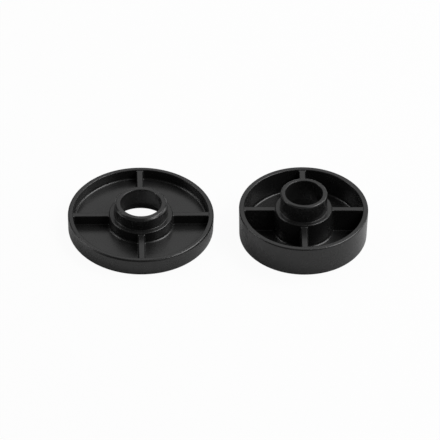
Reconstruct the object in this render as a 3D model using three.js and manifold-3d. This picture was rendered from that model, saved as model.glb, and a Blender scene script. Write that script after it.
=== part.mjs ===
// A pair of black plastic glides for tubular furniture legs, standing side by side: a low, wide one
// and a taller, narrower one. Each is one moulding: a rim wall round a flat floor, radial ribs, and
// a stepped hollow hub. The leg's tube slips over the spigot and its end stands on the shoulder.
// Millimetres, +Z up. The pair stands on z = 0, and X and Y are centred on the pair's own box.

import * as THREE from "three";
import { mergeVertices } from "three/addons/utils/BufferGeometryUtils.js";
import Module from "manifold-3d";

const wasm = await Module();
wasm.setup();

// Low glide
const LOW_RIM_DIAMETER = 60;
const LOW_RIM_HEIGHT = 7.6;
const LOW_SPIGOT_DIAMETER = 22.1;
const LOW_SPIGOT_LENGTH = 5.5;
const LOW_SPIGOT_WALL = 2.7;
const LOW_SPIGOT_CHAMFER = 0.8;

// Tall glide
const TALL_RIM_DIAMETER = 53;
const TALL_RIM_HEIGHT = 13.8;
const TALL_SPIGOT_DIAMETER = 19.4;
const TALL_SPIGOT_LENGTH = 7.8;
const TALL_SPIGOT_WALL = 2.05;
const TALL_SPIGOT_CHAMFER = 0.35;

// Walls, floor and ribs that both mouldings share
const RIM_WALL = 2.1;
const FLOOR_THICKNESS = 2.4;
const RIB_COUNT = 4;
const RIB_THICKNESS = 2.4;
const RIB_DROP = 0.35; // the ribs' tops lie this far below the rim
const SHOULDER_WIDTH = 1.95; // the ledge that the tube's end stands on
const SHOULDER_RISE = 0.3; // the shoulder stands this far above the rim
const DRAFT_DEGREES = 1.5; // every wall leans this much, so that the moulding leaves its mould

// Underside: a standing ring round a shallow recess, and a socket up into the hub
const FOOT_WIDTH = 4;
const SOLE_RECESS = 0.6;
const SOCKET_CLEARANCE = 0.4; // the socket's diameter over the spigot's, so that glides can stack
const SOCKET_LEAD_IN = 0.5;
const SOCKET_ROOF = 1.7; // plastic between the socket and the shoulder

// Rounded corners
const RIM_EDGE_RADIUS = 0.6;
const RIM_INNER_RADIUS = 0.3;
const FOOT_EDGE_RADIUS = 0.6;
const SHOULDER_EDGE_RADIUS = 0.4;
const SPIGOT_ROOT_FILLET = 0.2;
const BORE_EDGE_RADIUS = 0.3;
const FLOOR_FILLET = 0.8;
const RIB_FILLET = 0.5;
const RIB_EDGE_RADIUS = 0.3;

// Layout: the gap between the glides, how far the tall one's front edge stands behind the low one's,
// and how far each is turned about its own axis, as it was set down
const GLIDE_GAP = 10.1;
const TALL_SET_BACK = 1.5;
const LOW_TURN_DEGREES = 2.2;
const TALL_TURN_DEGREES = 1.4;

// Facets
const TURN_SEGMENTS = 72;
const ARC_DIVISIONS = 1;

const draft = Math.tan(THREE.MathUtils.degToRad(DRAFT_DEGREES));

const BLACK_PLASTIC = new THREE.MeshStandardMaterial({
  name: "black_moulded_plastic",
  color: 0x1b1b1c,
  roughness: 0.45,
  metalness: 0,
});

// A closed outline through corners [across, up, round], where round is the corner's own radius.
function roundedOutline(corners) {
  const path = new THREE.Path();
  corners.forEach(([x, y, round = 0], i) => {
    const corner = new THREE.Vector2(x, y);
    if (round === 0) {
      if (i === 0) path.moveTo(x, y);
      else path.lineTo(x, y);
      return;
    }
    const before = corners[i - 1];
    const after = corners[i + 1];
    const toBefore = new THREE.Vector2(before[0], before[1]).sub(corner).normalize();
    const toAfter = new THREE.Vector2(after[0], after[1]).sub(corner).normalize();
    const half = Math.acos(toBefore.dot(toAfter)) / 2;
    const middle = toBefore.clone().add(toAfter).normalize();
    const centre = corner.clone().addScaledVector(middle, round / Math.sin(half));
    const start = corner.clone().addScaledVector(toBefore, round / Math.tan(half)).sub(centre);
    const end = corner.clone().addScaledVector(toAfter, round / Math.tan(half)).sub(centre);
    const clockwise = start.cross(end) < 0;
    path.absarc(centre.x, centre.y, round, start.angle(), end.angle(), clockwise);
  });
  path.closePath();
  return path.getPoints(ARC_DIVISIONS);
}

function toSolid(geometry) {
  geometry.deleteAttribute("normal");
  geometry.deleteAttribute("uv");
  const merged = mergeVertices(geometry);
  return new wasm.Manifold(
    new wasm.Mesh({
      numProp: 3,
      vertProperties: Float32Array.from(merged.attributes.position.array),
      triVerts: Uint32Array.from(merged.index.array),
    }),
  );
}

function toGeometry(solid) {
  const { vertProperties, triVerts } = solid.getMesh();
  const geometry = new THREE.BufferGeometry();
  geometry.setAttribute("position", new THREE.BufferAttribute(vertProperties, 3));
  geometry.setIndex(new THREE.BufferAttribute(triVerts, 1));
  geometry.computeVertexNormals();
  return geometry;
}

// Heights and radii that a glide's rim, hub and ribs share.
function glideSizes({ rimDiameter, rimHeight, spigotDiameter, spigotLength, spigotWall }) {
  const rimRadius = rimDiameter / 2;
  const spigotRadius = spigotDiameter / 2;
  const shoulderRadius = spigotRadius + SHOULDER_WIDTH;
  const shoulderHeight = rimHeight + SHOULDER_RISE;
  const floorTop = SOLE_RECESS + FLOOR_THICKNESS;
  return {
    rimRadius,
    rimHeight,
    baseRadius: rimRadius - rimHeight * draft,
    floorTop,
    floorRadius: rimRadius - RIM_WALL - (rimHeight - floorTop) * draft,
    hubRadius: shoulderRadius + (shoulderHeight - floorTop) * draft,
    shoulderRadius,
    shoulderHeight,
    spigotRadius,
    spigotTopRadius: spigotRadius - spigotLength * draft,
    topHeight: shoulderHeight + spigotLength,
    boreRadius: spigotRadius - spigotWall,
    socketRadius: spigotRadius + SOCKET_CLEARANCE / 2,
    socketTop: shoulderHeight - SOCKET_ROOF,
  };
}

// Rim, floor and stepped hub, as one section turned about the hub's axis.
function turnedBody(s, chamfer) {
  const mouthRadius = s.socketRadius + SOCKET_LEAD_IN;
  const footInnerRadius = s.baseRadius - FOOT_WIDTH;
  const section = roundedOutline([
    [mouthRadius, SOLE_RECESS],
    [footInnerRadius, SOLE_RECESS],
    [footInnerRadius + SOLE_RECESS, 0],
    [s.baseRadius, 0, FOOT_EDGE_RADIUS],
    [s.rimRadius, s.rimHeight, RIM_EDGE_RADIUS],
    [s.rimRadius - RIM_WALL, s.rimHeight, RIM_INNER_RADIUS],
    [s.floorRadius, s.floorTop, FLOOR_FILLET],
    [s.hubRadius, s.floorTop, FLOOR_FILLET],
    [s.shoulderRadius, s.shoulderHeight, SHOULDER_EDGE_RADIUS],
    [s.spigotRadius, s.shoulderHeight, SPIGOT_ROOT_FILLET],
    [s.spigotTopRadius, s.topHeight - chamfer],
    [s.spigotTopRadius - chamfer, s.topHeight],
    [s.boreRadius, s.topHeight, BORE_EDGE_RADIUS],
    [s.boreRadius, s.socketTop],
    [s.socketRadius, s.socketTop],
    [s.socketRadius, SOLE_RECESS + SOCKET_LEAD_IN],
  ]);
  return new THREE.LatheGeometry(section, TURN_SEGMENTS).rotateX(Math.PI / 2);
}

// One rib along +X, from inside the hub's wall to inside the rim's: drafted sides, rounded top edges,
// and a foot that runs out into the floor on both sides.
function ribGeometry(s) {
  const foot = s.floorTop - FLOOR_THICKNESS / 2;
  const top = s.rimHeight - RIB_DROP;
  const topHalf = RIB_THICKNESS / 2;
  const footHalf = topHalf + (top - s.floorTop) * draft;
  const spread = footHalf + 2 * RIB_FILLET;
  const section = new THREE.Shape(
    roundedOutline([
      [-spread, foot],
      [spread, foot],
      [spread, s.floorTop],
      [footHalf, s.floorTop, RIB_FILLET],
      [topHalf, top, RIB_EDGE_RADIUS],
      [-topHalf, top, RIB_EDGE_RADIUS],
      [-footHalf, s.floorTop, RIB_FILLET],
      [-spread, s.floorTop],
    ]),
  );
  const innerEnd = (s.socketRadius + s.shoulderRadius) / 2;
  const outerEnd = s.floorRadius + RIM_WALL / 2;
  const rib = new THREE.ExtrudeGeometry(section, { depth: outerEnd - innerEnd, bevelEnabled: false });
  const acrossUpAlong = new THREE.Matrix4().makeBasis(
    new THREE.Vector3(0, 1, 0),
    new THREE.Vector3(0, 0, 1),
    new THREE.Vector3(1, 0, 0),
  );
  return rib.applyMatrix4(acrossUpAlong).translate(innerEnd, 0, 0);
}

function makeGlide(name, sizes, chamfer, turnDegrees) {
  let solid = toSolid(turnedBody(sizes, chamfer));
  for (let i = 0; i < RIB_COUNT; i += 1) {
    solid = solid.add(toSolid(ribGeometry(sizes).rotateZ((i * 2 * Math.PI) / RIB_COUNT)));
  }
  const glide = new THREE.Mesh(toGeometry(solid), BLACK_PLASTIC);
  glide.name = name;
  glide.rotation.z = THREE.MathUtils.degToRad(turnDegrees);
  return glide;
}

const lowSizes = glideSizes({
  rimDiameter: LOW_RIM_DIAMETER,
  rimHeight: LOW_RIM_HEIGHT,
  spigotDiameter: LOW_SPIGOT_DIAMETER,
  spigotLength: LOW_SPIGOT_LENGTH,
  spigotWall: LOW_SPIGOT_WALL,
});
const tallSizes = glideSizes({
  rimDiameter: TALL_RIM_DIAMETER,
  rimHeight: TALL_RIM_HEIGHT,
  spigotDiameter: TALL_SPIGOT_DIAMETER,
  spigotLength: TALL_SPIGOT_LENGTH,
  spigotWall: TALL_SPIGOT_WALL,
});

const lowGlide = makeGlide("low_glide", lowSizes, LOW_SPIGOT_CHAMFER, LOW_TURN_DEGREES);
const tallGlide = makeGlide("tall_glide", tallSizes, TALL_SPIGOT_CHAMFER, TALL_TURN_DEGREES);

const pairLength = LOW_RIM_DIAMETER + GLIDE_GAP + TALL_RIM_DIAMETER;
const pairDepth = Math.max(LOW_RIM_DIAMETER, TALL_SET_BACK + TALL_RIM_DIAMETER);
const frontY = -pairDepth / 2;
lowGlide.position.set(lowSizes.rimRadius - pairLength / 2, frontY + lowSizes.rimRadius, 0);
tallGlide.position.set(
  pairLength / 2 - tallSizes.rimRadius,
  frontY + TALL_SET_BACK + tallSizes.rimRadius,
  0,
);

const glides = new THREE.Group();
glides.name = "furniture_glides";
glides.add(lowGlide, tallGlide);

export default glides;
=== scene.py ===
"""Two black plastic glides for tubular furniture legs, a low one and a tall one, on a white table."""

import math

import bpy
import numpy as np
from mathutils import Matrix, Vector


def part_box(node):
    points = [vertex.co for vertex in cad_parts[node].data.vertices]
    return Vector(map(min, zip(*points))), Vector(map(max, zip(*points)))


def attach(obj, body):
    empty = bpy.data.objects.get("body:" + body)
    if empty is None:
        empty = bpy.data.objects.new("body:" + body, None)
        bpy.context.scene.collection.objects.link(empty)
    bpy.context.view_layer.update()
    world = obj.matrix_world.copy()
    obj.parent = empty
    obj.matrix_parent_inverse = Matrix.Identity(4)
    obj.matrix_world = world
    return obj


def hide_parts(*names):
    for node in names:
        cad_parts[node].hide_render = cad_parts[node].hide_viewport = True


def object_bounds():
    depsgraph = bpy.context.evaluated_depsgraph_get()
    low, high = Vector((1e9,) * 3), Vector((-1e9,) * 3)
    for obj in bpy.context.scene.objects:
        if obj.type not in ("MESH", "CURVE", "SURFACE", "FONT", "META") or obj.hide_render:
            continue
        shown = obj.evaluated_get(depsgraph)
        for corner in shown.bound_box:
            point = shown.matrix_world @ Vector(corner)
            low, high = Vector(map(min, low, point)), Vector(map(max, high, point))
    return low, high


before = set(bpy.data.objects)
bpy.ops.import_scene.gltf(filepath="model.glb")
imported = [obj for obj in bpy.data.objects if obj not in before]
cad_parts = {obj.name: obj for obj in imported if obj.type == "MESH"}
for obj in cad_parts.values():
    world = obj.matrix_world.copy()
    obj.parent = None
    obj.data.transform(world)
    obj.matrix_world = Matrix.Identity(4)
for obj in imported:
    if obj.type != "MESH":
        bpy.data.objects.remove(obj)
cad_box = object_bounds()


# Low glide
# One injection moulding in black polypropylene: a shallow dish, four radial ribs and a stepped hollow
# hub in one shot. A leg tube about 25 mm wide slips over the hub's spigot, and its end stands on the
# shoulder round the spigot's foot. Every wall leans a little, so that the moulding left its mould.
MM = 0.001

RIM_WALL = 2.1
FLOOR_THICKNESS = 2.4
SHOULDER_WIDTH = 1.95
SHOULDER_RISE = 0.3
DRAFT_DEGREES = 1.5
DRAFT = math.tan(math.radians(DRAFT_DEGREES))
RIB_COUNT = 4
RIB_THICKNESS = 2.4
RIB_DROP = 0.35
SOLE_RECESS = 0.6
FOOT_WIDTH = 4.0
SOCKET_PLAY = 0.2
SOCKET_LEAD_IN = 0.5
SOCKET_ROOF = 1.7

FLOOR_FILLET = 0.8
RIB_FILLET = 0.5
RIB_EDGE_ROUND = 0.3
RIB_END_FLARE = 0.6
RIB_BED = 2.2  # stretch of floor beside a rib that its own lines cover
FOOT_ROUND = 0.6
RIM_INNER_ROUND = 0.3
SHOULDER_ROUND = 0.4
SPIGOT_ROOT_FILLET = 0.2
BORE_ROUND = 0.3
SMALL_ROUND = 0.2

ARC_STEPS = 6
EASE = 0.12  # flat stretch with a line of its own beside each rounding
EASE_SHARE = 0.3  # of the flat that is left between two roundings, at most
CLIMB_SHARE = 0.85  # of its wall's height that a floor fillet climbs, at most
BED_LINES = 3
OPEN_LINES = 22


def rounded(corners, back, on):
    """Outline through corners, each a quarter ellipse laid on its two sides: corner + b * back * (1 - sin a)
    + n * on * (1 - cos a), where b and n point to the corners before and after and a runs from 0 to 90
    degrees. One more point before and after each arc keeps the flat stretches flat when they are shaded.
    Corners come as (corner, line, radius and height), and so does the outline."""
    onward = np.roll(corners, -1, axis=0) - corners
    length = np.linalg.norm(onward, axis=2)
    onward = onward / length[..., None]
    backward = -np.roll(onward, 1, axis=0)
    ease = np.minimum(EASE, EASE_SHARE * (length - on - np.roll(back, -1, axis=0)))
    turn = np.linspace(0, math.pi / 2, ARC_STEPS + 1)
    along_back = np.concatenate([
        (back + np.roll(ease, 1, axis=0))[:, None],
        back[:, None] * (1 - np.sin(turn))[:, None],
        np.zeros_like(back)[:, None],
    ], axis=1)
    along_on = np.concatenate([
        np.zeros_like(on)[:, None],
        on[:, None] * (1 - np.cos(turn))[:, None],
        (on + ease)[:, None],
    ], axis=1)
    arcs = corners[:, None] + backward[:, None] * along_back[..., None]
    arcs = arcs + onward[:, None] * along_on[..., None]
    return arcs.reshape(-1, *corners.shape[1:])


def rib_lines(rim_height, floor_height):
    """Half of a rib's cross-section as (distance from the rib's middle, height): flat top, rounded edge,
    leaning side, fillet and a stretch of floor. It also says how far each line swings out at the walls."""
    top = rim_height - RIB_DROP
    half_top = RIB_THICKNESS / 2
    half_foot = half_top + (top - floor_height) * DRAFT
    reach = half_foot + RIB_BED
    corners = np.array([[0, top], [half_top, top], [half_foot, floor_height], [reach, floor_height]])[:, None]
    rounds = np.array([SMALL_ROUND, RIB_EDGE_ROUND, RIB_FILLET, SMALL_ROUND])[:, None]
    points = rounded(corners, rounds, rounds)[:, 0].reshape(len(corners), -1, 2)
    floor = np.linspace(points[2, -1], corners[3, 0], BED_LINES + 1)[1:]
    lines = np.concatenate([corners[0], points[1], points[2], floor])
    offset, height = lines.T
    swing = np.minimum(offset / half_top, (reach - offset) / (reach - half_foot)).clip(0, 1) * RIB_END_FLARE
    return offset, height, swing


def glide_section(
    rim_radius, top_height, rim_height, rim_round, spigot_radius, spigot_wall, chamfer, pocket_floor
):
    """The moulding's closed section on every line round its axis, as (radius, height), from the socket's
    mouth out along the sole, up the rim, through the pocket, over the hub and down its bore. The pocket's
    own floor stands at pocket_floor, which differs from line to line where a rib crosses it."""
    shoulder = spigot_radius + SHOULDER_WIDTH
    shoulder_height = rim_height + SHOULDER_RISE
    base = rim_radius - rim_height * DRAFT
    foot_inner = base - FOOT_WIDTH
    spigot_top = spigot_radius - (top_height - shoulder_height) * DRAFT
    bore = spigot_radius - spigot_wall
    socket = spigot_radius + SOCKET_PLAY
    socket_top = shoulder_height - SOCKET_ROOF
    rim_foot = rim_radius - RIM_WALL - (rim_height - pocket_floor) * DRAFT
    hub_foot = shoulder + (shoulder_height - pocket_floor) * DRAFT
    rim_climb = np.minimum(FLOOR_FILLET, CLIMB_SHARE * (rim_height - pocket_floor - RIM_INNER_ROUND))
    hub_climb = np.minimum(FLOOR_FILLET, CLIMB_SHARE * (shoulder_height - pocket_floor - SHOULDER_ROUND))
    edge = min(chamfer / 2, SMALL_ROUND)
    columns = [
        (socket + SOCKET_LEAD_IN, SOLE_RECESS, SMALL_ROUND, SMALL_ROUND),
        (foot_inner, SOLE_RECESS, SMALL_ROUND, SMALL_ROUND),
        (foot_inner + SOLE_RECESS, 0, SMALL_ROUND, SMALL_ROUND),
        (base, 0, FOOT_ROUND, FOOT_ROUND),
        (rim_radius, rim_height, rim_round, rim_round),
        (rim_radius - RIM_WALL, rim_height, RIM_INNER_ROUND, RIM_INNER_ROUND),
        (rim_foot, pocket_floor, rim_climb, FLOOR_FILLET),
        (hub_foot, pocket_floor, FLOOR_FILLET, hub_climb),
        (shoulder, shoulder_height, SHOULDER_ROUND, SHOULDER_ROUND),
        (spigot_radius, shoulder_height, SPIGOT_ROOT_FILLET, SPIGOT_ROOT_FILLET),
        (spigot_top, top_height - chamfer, edge, edge),
        (spigot_top - chamfer, top_height, edge, edge),
        (bore, top_height, BORE_ROUND, BORE_ROUND),
        (bore, socket_top, SMALL_ROUND, SMALL_ROUND),
        (socket, socket_top, SMALL_ROUND, SMALL_ROUND),
        (socket, SOLE_RECESS + SOCKET_LEAD_IN, SMALL_ROUND, SMALL_ROUND),
    ]
    table = np.array([[np.broadcast_to(v, pocket_floor.shape) for v in column] for column in columns])
    outline = rounded(table[:, :2].transpose(0, 2, 1), table[:, 2], table[:, 3])
    # at the pocket's two feet a line swings sideways as it climbs, and past them it keeps its swing
    at_rim_foot, at_hub_foot = 6, 7
    turn = np.linspace(0, math.pi / 2, ARC_STEPS + 1)
    swing = np.ones((len(columns), ARC_STEPS + 3))
    swing[at_rim_foot] = np.concatenate([[1], 1 - np.sin(turn), [0]])
    swing[at_hub_foot] = np.concatenate([[0], 1 - np.cos(turn), [1]])
    return outline[..., 0], outline[..., 1], swing.ravel()


def glide_surface(centre, turn_degrees, **sizes):
    """Points of the whole moulding as (section point, line, xyz) in millimetres. Near a rib the lines run
    beside it at a fixed distance: angle = asin(distance / radius). Between the ribs they fan out evenly to
    the line half-way between two ribs. One side of one rib is worked out, mirrored and repeated."""
    floor_height = SOLE_RECESS + FLOOR_THICKNESS
    offset, height, spread = rib_lines(sizes["rim_height"], floor_height)
    fan = np.linspace(0, 1, OPEN_LINES + 1)[1:]
    pocket_floor = np.concatenate([height, np.full(OPEN_LINES, floor_height)])
    radius, level, swing = glide_section(pocket_floor=pocket_floor, **sizes)
    beside = len(offset)
    near = np.arcsin((offset + swing[:, None] * spread) / radius[:, :beside])
    last = np.arcsin(offset[-1] / radius[:, beside:])
    half_way = math.pi / RIB_COUNT
    angle = np.concatenate([near, last + (half_way - last) * fan], axis=1)
    lines = angle.shape[1]
    mirrored = np.concatenate([np.arange(lines - 1, 0, -1), np.arange(lines - 1)])
    side = np.repeat([-1.0, 1.0], lines - 1)
    rib = np.arange(RIB_COUNT)[:, None] * 2 * half_way + math.radians(turn_degrees)
    angle = (rib + (angle[:, mirrored] * side)[:, None]).reshape(len(angle), -1)
    radius = np.tile(radius[:, mirrored], RIB_COUNT)
    level = np.tile(level[:, mirrored], RIB_COUNT)
    return np.stack([
        centre[0] + radius * np.cos(angle),
        centre[1] + radius * np.sin(angle),
        centre[2] + level,
    ], axis=2)


def closed_mesh(name, points):
    """Mesh of a grid of points that closes on itself both ways, with its faces pointing out."""
    rows, lines = points.shape[:2]
    index = np.arange(rows * lines).reshape(rows, lines)
    ahead = np.roll(index, -1, axis=1)
    faces = np.stack([index, ahead, np.roll(ahead, -1, axis=0), np.roll(index, -1, axis=0)], axis=2)
    mesh = bpy.data.meshes.new(name)
    mesh.from_pydata((points.reshape(-1, 3) * MM).tolist(), [], faces.reshape(-1, 4).tolist())
    mesh.shade_smooth()
    piece = bpy.data.objects.new(name, mesh)
    bpy.context.scene.collection.objects.link(piece)
    return piece


def linear(hex_colour):
    """Linear RGBA of an sRGB hex colour."""
    srgb = np.array([int(hex_colour[k:k + 2], 16) for k in (1, 3, 5)]) / 255
    rgb = np.where(srgb <= 0.04045, srgb / 12.92, ((srgb + 0.055) / 1.055) ** 2.4)
    return (*rgb.tolist(), 1.0)


def add_node(tree, kind, inputs=(), **settings):
    """Adds a node: settings are its own properties, and each input gets a value or another node's output."""
    node = tree.nodes.new(kind)
    for key, value in settings.items():
        setattr(node, key, value)
    for key, value in dict(inputs).items():
        if isinstance(value, bpy.types.NodeSocket):
            tree.links.new(value, node.inputs[key])
        else:
            node.inputs[key].default_value = value
    return node


def moulded_polypropylene():
    """Black polypropylene off a spark-eroded mould: near black, a satin that brightens towards grazing
    light, cloudy flow marks a few millimetres wide and a fine even grain. The real grain is about 0.1 mm,
    too fine to show, so it is drawn coarser."""
    flow_width = 7.0
    grain_width = 0.5
    grain_depth = 0.004
    material = bpy.data.materials.new("moulded_black_polypropylene")
    material.use_nodes = True
    tree = material.node_tree
    tree.nodes.clear()
    place = add_node(tree, "ShaderNodeTexCoord").outputs["Object"]
    flow = add_node(tree, "ShaderNodeTexNoise", {
        "Vector": place, "Scale": 1 / (flow_width * MM), "Detail": 3.0,
    })
    grain = add_node(tree, "ShaderNodeTexNoise", {
        "Vector": place, "Scale": 1 / (grain_width * MM), "Detail": 1.0,
    })
    colour = add_node(tree, "ShaderNodeMix", {
        "Factor": flow.outputs["Fac"], "A": linear("#1b1b1b"), "B": linear("#202020"),
    }, data_type="RGBA")
    roughness = add_node(tree, "ShaderNodeMapRange", {
        "Value": flow.outputs["Fac"], "From Min": 0.3, "From Max": 0.7, "To Min": 0.24, "To Max": 0.3,
    })
    bump = add_node(tree, "ShaderNodeBump", {
        "Height": grain.outputs["Fac"], "Strength": 0.5, "Distance": grain_depth * MM,
    })
    shader = add_node(tree, "ShaderNodeBsdfPrincipled", {
        "Base Color": colour.outputs["Result"],
        "Roughness": roughness.outputs["Result"],
        "Normal": bump.outputs["Normal"],
        "IOR": 1.49,
    })
    add_node(tree, "ShaderNodeOutputMaterial", {"Surface": shader.outputs["BSDF"]})
    return material


def glide(name, node, body, turn_degrees, **sizes):
    """A glide's moulding in the place of its CAD node, which gives the axis, the width and the height."""
    low, high = (np.array(corner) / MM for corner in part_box(node))
    centre = [(low[0] + high[0]) / 2, (low[1] + high[1]) / 2, low[2]]
    surface = glide_surface(
        centre, turn_degrees, rim_radius=(high[0] - low[0]) / 2, top_height=high[2] - low[2], **sizes
    )
    piece = closed_mesh(name, surface)
    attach(piece, body)
    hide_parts(node)
    return piece


black_plastic = moulded_polypropylene()
low_glide = glide(
    "low_glide_moulding", "low_glide", "low_glide", turn_degrees=2.2,
    rim_height=7.6, rim_round=0.85, spigot_radius=11.05, spigot_wall=2.7, chamfer=0.8,
)
low_glide.data.materials.append(black_plastic)


# Tall glide
# The same kind of moulding from the same plastic, narrower and nearly twice as deep, for a leg tube about
# 22 mm wide. Its spigot has only a fine chamfer.
tall_glide = glide(
    "tall_glide_moulding", "tall_glide", "tall_glide", turn_degrees=1.4,
    rim_height=13.8, rim_round=0.6, spigot_radius=9.7, spigot_wall=2.05, chamfer=0.35,
)
tall_glide.data.materials.append(black_plastic)


# Table
# A plain white table top. The camera sees it nearly all in its own white, so that only a trace of the
# glides' shadow stays on it. Reflections see it mostly as the soft boxes light it.
TABLE_SIZE = 4.0
TABLE_GAP = 0.02 * MM
OWN_WHITE_SEEN = 0.95
OWN_WHITE_REFLECTED = 0.05

half = TABLE_SIZE / 2
table_mesh = bpy.data.meshes.new("table")
level = cad_box[0].z - TABLE_GAP
corners = [(-half, -half, level), (half, -half, level), (half, half, level), (-half, half, level)]
table_mesh.from_pydata(corners, [], [(0, 1, 2, 3)])
table = bpy.data.objects.new("table", table_mesh)
bpy.context.scene.collection.objects.link(table)

laminate = bpy.data.materials.new("white_laminate")
laminate.use_nodes = True
tree = laminate.node_tree
tree.nodes.clear()
rays = add_node(tree, "ShaderNodeLightPath").outputs
seen = add_node(tree, "ShaderNodeMath", {0: rays["Is Camera Ray"], 1: OWN_WHITE_SEEN}, operation="MULTIPLY")
mirrored = add_node(tree, "ShaderNodeMath", {
    0: rays["Is Glossy Ray"], 1: rays["Is Transmission Ray"],
}, operation="MAXIMUM")
share = add_node(tree, "ShaderNodeMath", {
    0: mirrored.outputs[0], 1: OWN_WHITE_REFLECTED, 2: seen.outputs[0],
}, operation="MULTIPLY_ADD")
matt = add_node(tree, "ShaderNodeBsdfDiffuse", {"Color": linear("#e0e0e0")})
white = add_node(tree, "ShaderNodeEmission", {"Color": linear("#ffffff"), "Strength": 1.0})
mixed = add_node(tree, "ShaderNodeMixShader", {0: share.outputs[0], 1: matt.outputs[0], 2: white.outputs[0]})
add_node(tree, "ShaderNodeOutputMaterial", {"Surface": mixed.outputs[0]})
table_mesh.materials.append(laminate)


# Studio light
# A long soft box high at the right and a dimmer one low beside it, a small bright one high at the back
# right, a wide dim one over the back, two at the left, a faint one over the front right, and dim walls.
BOX_DISTANCE = 0.9
WALL_BRIGHTNESS = 0.05


def soft_box(name, azimuth, elevation, width, height, brightness):
    """A soft box that faces the glides: brightness is what a white card lit by nothing else would show
    as, seen straight on, so its power is pi * area * brightness."""
    across, up = math.radians(azimuth), math.radians(elevation)
    away = Vector((math.sin(across) * math.cos(up), math.cos(across) * math.cos(up), math.sin(up)))
    lamp = bpy.data.lights.new(name, "AREA")
    lamp.shape = "RECTANGLE"
    lamp.size = width
    lamp.size_y = height
    lamp.energy = math.pi * width * height * brightness
    box = bpy.data.objects.new(name, lamp)
    box.location = away * BOX_DISTANCE
    box.rotation_euler = away.to_track_quat("Z", "Y").to_euler()
    bpy.context.scene.collection.objects.link(box)
    return box


soft_box("right_box", azimuth=92, elevation=50, width=0.8, height=0.32, brightness=6.2)
soft_box("right_low_box", azimuth=72, elevation=17, width=0.5, height=0.25, brightness=3.0)
soft_box("key_box", azimuth=48, elevation=62, width=0.25, height=0.25, brightness=6.6)
soft_box("back_box", azimuth=0, elevation=47, width=1.2, height=0.55, brightness=0.78)
soft_box("left_box", azimuth=-92, elevation=12, width=0.5, height=0.35, brightness=2.5)
soft_box("left_high_box", azimuth=-75, elevation=48, width=0.3, height=0.25, brightness=4.3)
soft_box("fill_box", azimuth=135, elevation=55, width=0.5, height=0.4, brightness=0.5)

world = bpy.data.worlds.new("studio")
world.use_nodes = True
world.node_tree.nodes.clear()
walls = add_node(world.node_tree, "ShaderNodeBackground", {
    "Color": linear("#ffffff"), "Strength": WALL_BRIGHTNESS,
})
add_node(world.node_tree, "ShaderNodeOutputWorld", {"Surface": walls.outputs[0]})
bpy.context.scene.world = world
bpy.context.scene.view_settings.view_transform = "Standard"


# Camera
# A long lens, looking down at the front of both glides from well back, and turned a little on its axis.
CAMERA_ELEVATION = 40.3
CAMERA_ROLL = 1.0
CAMERA_DISTANCE = 2500 * MM
FRAME_PIXELS = 440
PIXELS_PER_MM = 2.435
ORIGIN_PIXEL = (217.55, 229.05)

up = math.radians(CAMERA_ELEVATION)
backward = Vector((0, -math.cos(up), math.sin(up)))
upright = backward.to_track_quat("Z", "Y").to_matrix()
turned = Matrix.Rotation(math.radians(CAMERA_ROLL), 3, backward) @ upright
to_right = FRAME_PIXELS / 2 - ORIGIN_PIXEL[0]
to_bottom = FRAME_PIXELS / 2 - ORIGIN_PIXEL[1]
middle = (turned.col[0] * to_right - turned.col[1] * to_bottom) / PIXELS_PER_MM * MM
camera_data = bpy.data.cameras.new("camera")
camera_data.lens = camera_data.sensor_width * CAMERA_DISTANCE / (FRAME_PIXELS / PIXELS_PER_MM * MM)
camera = bpy.data.objects.new("camera", camera_data)
camera.matrix_world = Matrix.Translation(middle + backward * CAMERA_DISTANCE) @ turned.to_4x4()
bpy.context.scene.collection.objects.link(camera)
bpy.context.scene.camera = camera
